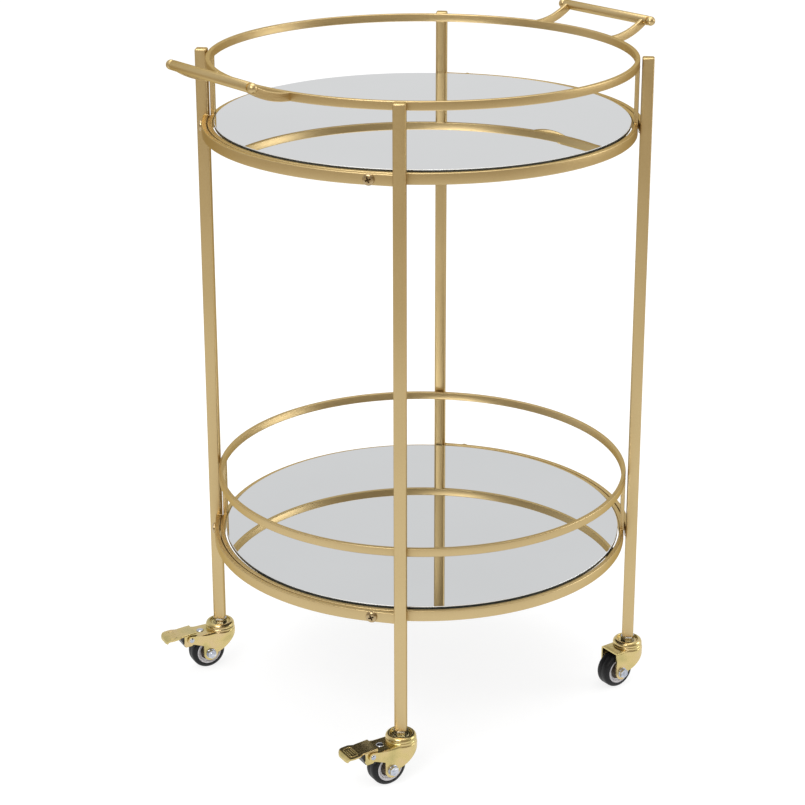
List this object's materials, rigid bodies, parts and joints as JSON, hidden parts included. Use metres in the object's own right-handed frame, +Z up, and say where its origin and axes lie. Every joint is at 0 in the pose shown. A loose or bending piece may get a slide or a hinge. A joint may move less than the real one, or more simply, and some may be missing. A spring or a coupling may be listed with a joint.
{
  "type": "dessert trolley",
  "caption": "Round two-tier serving trolley with mirrored trays, gallery rails, curved end handles and square legs on swivel casters, a pair of them braked.",
  "frame": {"origin": "on the floor under the middle of the round trays", "axes": "+Z up; the handles stand at -X and +X; the braked casters are under the -X handle"},
  "size_m": [0.516, 0.43, 0.7017],
  "materials": {
    "gold_paint": "satin champagne gold",
    "gold_screw": "gold plated screw",
    "mirror_glass": "clear polished mirror",
    "yellow_zinc": "yellow passivated zinc",
    "silver_steel": "bright zinc",
    "tyre_rubber": "satin black rubber",
    "rim_plastic": "grey moulded plastic",
    "clear_pad": "clear soft pad",
    "black_plastic": "black moulded plastic"
  },
  "bodies": {
    "trolley_frame": {"leg_front": "gold_paint", "leg_left": "gold_paint", "leg_right": "gold_paint", "leg_back": "gold_paint", "leg_inserts": "black_plastic", "caster_stems": "silver_steel", "swivel_balls": "silver_steel", "mirror_pads": "clear_pad", "lower_tray_ring": "gold_paint", "lower_gallery_rail": "gold_paint", "lower_gallery_posts": "gold_paint", "lower_mirror": "mirror_glass", "lower_mirror_tabs": "gold_paint", "lower_frame_screws": "gold_screw", "lower_arc_left": "gold_paint", "lower_arc_right": "gold_paint", "upper_tray_ring": "gold_paint", "upper_gallery_rail": "gold_paint", "upper_gallery_posts": "gold_paint", "upper_mirror": "mirror_glass", "upper_mirror_tabs": "gold_paint", "upper_frame_screws": "gold_screw", "upper_arc_left": "gold_paint", "upper_arc_right": "gold_paint", "left_handle_bar": "gold_paint", "left_handle_balls": "gold_paint", "left_handle_brackets": "gold_paint", "right_handle_bar": "gold_paint", "right_handle_balls": "gold_paint", "right_handle_brackets": "gold_paint", "caster_cup_front": "yellow_zinc", "caster_cup_left": "yellow_zinc", "caster_cup_right": "yellow_zinc", "caster_cup_back": "yellow_zinc"},
    "swivel_front": {"caster_fork_front": "yellow_zinc", "axle_bolt_front": "silver_steel", "brake_rivets_front": "silver_steel", "brake_leaf_front": "yellow_zinc"},
    "wheel_front": {"rim_front": "rim_plastic", "tyre_front": "tyre_rubber"},
    "swivel_left": {"caster_fork_left": "yellow_zinc", "axle_bolt_left": "silver_steel", "brake_rivets_left": "silver_steel", "brake_leaf_left": "yellow_zinc"},
    "wheel_left": {"rim_left": "rim_plastic", "tyre_left": "tyre_rubber"},
    "swivel_right": {"caster_fork_right": "yellow_zinc", "axle_bolt_right": "silver_steel"},
    "wheel_right": {"rim_right": "rim_plastic", "tyre_right": "tyre_rubber"},
    "swivel_back": {"caster_fork_back": "yellow_zinc", "axle_bolt_back": "silver_steel"},
    "wheel_back": {"rim_back": "rim_plastic", "tyre_back": "tyre_rubber"},
    "brake_front": {"brake_pedal_front": "yellow_zinc", "brake_shoe_front": "black_plastic"},
    "brake_left": {"brake_pedal_left": "yellow_zinc", "brake_shoe_left": "black_plastic"}
  },
  "joints": [
    {"name": "swivel_front_turn", "type": "hinge", "parent": "trolley_frame", "child": "swivel_front", "pos_m": [-0.15768, -0.15768, 0.043], "axis": [0, 0, 1], "continuous": true},
    {"name": "wheel_front_spin", "type": "hinge", "parent": "swivel_front", "child": "wheel_front", "pos_m": [-0.17452, -0.15532, 0.019], "axis": [-0.1392, -0.9903, 0], "continuous": true},
    {"name": "swivel_left_turn", "type": "hinge", "parent": "trolley_frame", "child": "swivel_left", "pos_m": [-0.15768, 0.15768, 0.043], "axis": [0, 0, 1], "continuous": true},
    {"name": "wheel_left_spin", "type": "hinge", "parent": "swivel_left", "child": "wheel_left", "pos_m": [-0.17437, 0.16093, 0.019], "axis": [-0.1908, -0.9816, 0], "continuous": true},
    {"name": "swivel_right_turn", "type": "hinge", "parent": "trolley_frame", "child": "swivel_right", "pos_m": [0.15768, -0.15768, 0.043], "axis": [0, 0, 1], "continuous": true},
    {"name": "wheel_right_spin", "type": "hinge", "parent": "swivel_right", "child": "wheel_right", "pos_m": [0.14073, -0.1565, 0.019], "axis": [-0.0698, -0.9976, 0], "continuous": true},
    {"name": "swivel_back_turn", "type": "hinge", "parent": "trolley_frame", "child": "swivel_back", "pos_m": [0.15768, 0.15768, 0.043], "axis": [0, 0, 1], "continuous": true},
    {"name": "wheel_back_spin", "type": "hinge", "parent": "swivel_back", "child": "wheel_back", "pos_m": [0.14073, 0.1565, 0.019], "axis": [0.0698, -0.9976, 0], "continuous": true},
    {"name": "brake_front_press", "type": "hinge", "parent": "swivel_front", "child": "brake_front", "pos_m": [-0.19611, -0.15229, 0.0397], "axis": [-0.1392, -0.9903, 0], "range_deg": [0, 12]},
    {"name": "brake_left_press", "type": "hinge", "parent": "swivel_left", "child": "brake_left", "pos_m": [-0.19577, 0.16509, 0.0397], "axis": [-0.1908, -0.9816, 0], "range_deg": [0, 12]}
  ]
}
